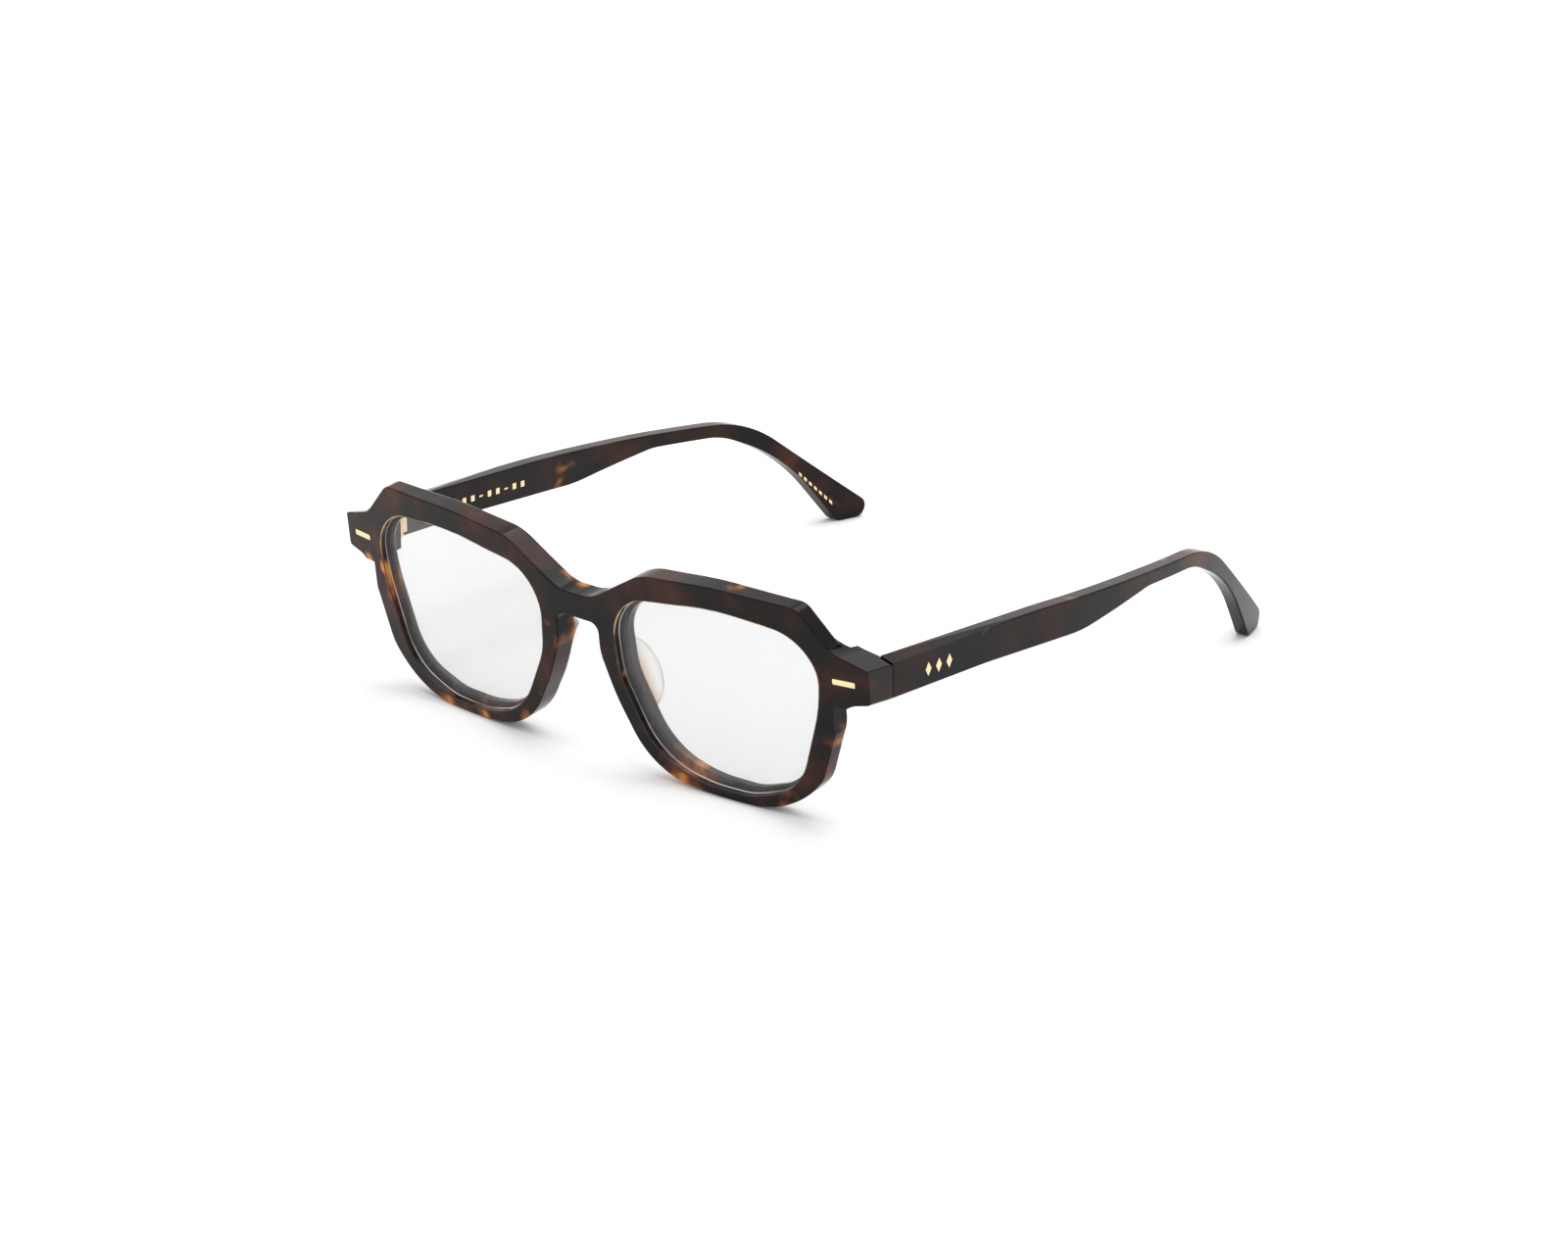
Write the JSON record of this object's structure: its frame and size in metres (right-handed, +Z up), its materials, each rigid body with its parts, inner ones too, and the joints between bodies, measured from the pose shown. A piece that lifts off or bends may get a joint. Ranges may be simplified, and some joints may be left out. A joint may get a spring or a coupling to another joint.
{
  "type": "eyeglasses frame",
  "caption": "Thick acetate eyeglasses frame with clear demo lenses, clear nose pads and folding temples on barrel hinges.",
  "frame": {"origin": "middle of the footprint on the table that the open frame stands on", "axes": "+Z up, -Y the way the front faces, +X to the wearer's left; the temples run to +Y"},
  "size_m": [0.1422, 0.1556, 0.046],
  "materials": {
    "acetate": "polished dark tortoise",
    "clear_acetate": "clear, polished",
    "lens": "clear, polished",
    "gold": "satin, pale gold",
    "core_wire": "drawn wire"
  },
  "bodies": {
    "root": {"front": "acetate", "lens_left": "lens", "lens_right": "lens", "nose_pad_left": "clear_acetate", "nose_pad_right": "clear_acetate", "front_plaque_left": "gold", "front_plaque_right": "gold", "front_hinge_left": "gold", "front_hinge_right": "gold", "hinge_screw_left": "gold", "hinge_screw_right": "gold"},
    "temple_left": {"temple_left": "acetate", "temple_hinge_left": "gold", "temple_core_left": "core_wire", "temple_mark_left": "gold"},
    "temple_right": {"temple_right": "acetate", "temple_hinge_right": "gold", "temple_core_right": "core_wire", "temple_mark_right": "gold"}
  },
  "joints": [
    {"name": "fold_left", "type": "hinge", "parent": "root", "child": "temple_left", "pos_m": [0.0649, -0.06178, 0.03151], "axis": [0, 0, 1], "range_deg": [0, 87.5]},
    {"name": "fold_right", "type": "hinge", "parent": "root", "child": "temple_right", "pos_m": [-0.0649, -0.06178, 0.03151], "axis": [0, 0, -1], "range_deg": [0, 80]}
  ]
}
